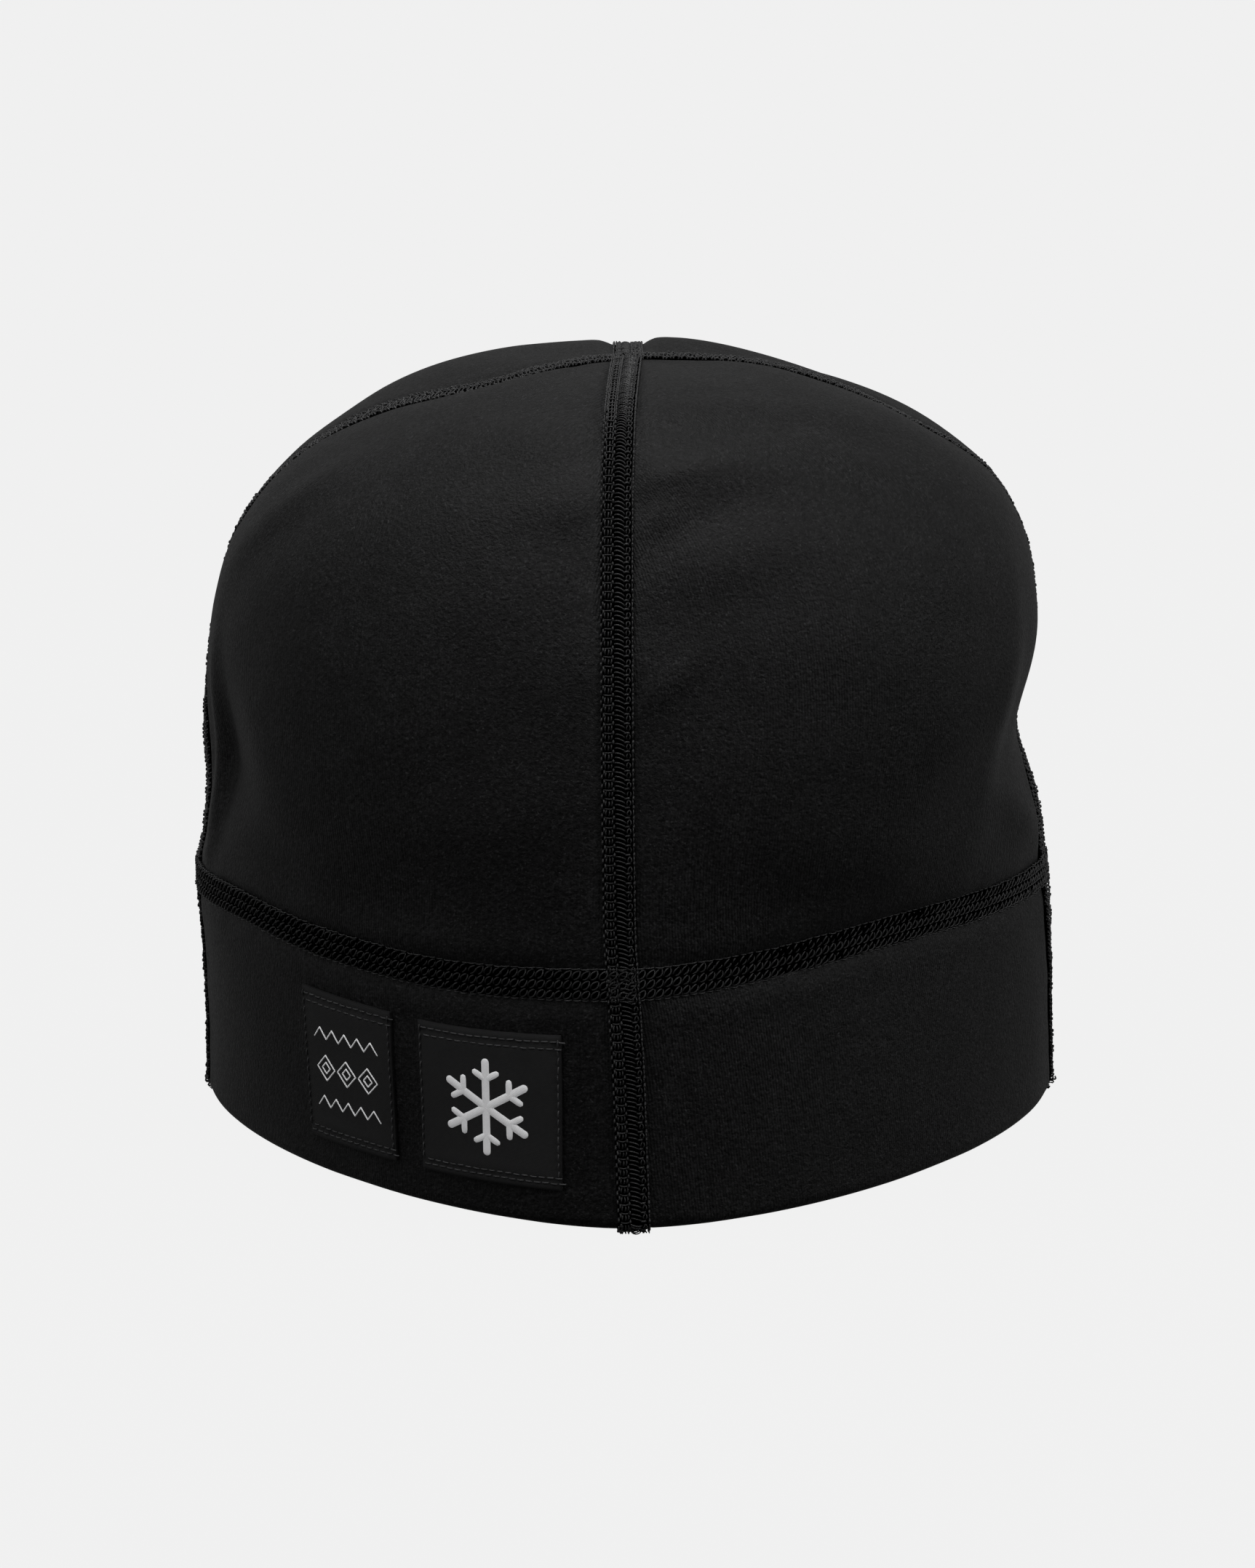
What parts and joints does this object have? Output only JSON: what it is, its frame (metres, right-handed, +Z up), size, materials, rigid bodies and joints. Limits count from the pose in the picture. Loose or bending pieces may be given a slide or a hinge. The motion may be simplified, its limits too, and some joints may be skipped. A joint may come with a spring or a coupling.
{
  "type": "neoprene beanie",
  "caption": "Close-fitting panelled stretch beanie with a deep folded band, flat cover seams and small woven labels on the front left of the band.",
  "frame": {"origin": "on the surface the hat stands on, under the middle of its box", "axes": "+Z up through the crown, forehead towards -Y, wearer's view of the hat from the front: labels towards -X"},
  "size_m": [0.1822, 0.1823, 0.1571],
  "materials": {
    "neoprene": "fine ribbed stretch knit over foam, black, faint sheen",
    "thread": "black cover stitching",
    "woven_label": "dark woven satin with a light motif"
  },
  "bodies": {
    "root": {"band_back_left": "neoprene", "band_back_right": "neoprene", "band_front_left": "neoprene", "band_front_right": "neoprene", "crown_back_left": "neoprene", "crown_back_right": "neoprene", "crown_front_left": "neoprene", "crown_front_right": "neoprene", "label_square": "woven_label", "label_tall": "woven_label", "seam_back": "thread", "seam_band_back": "thread", "seam_band_front": "thread", "seam_band_left": "thread", "seam_band_right": "thread", "seam_cross": "thread", "seam_front": "thread", "seam_ring": "thread"}
  },
  "joints": []
}
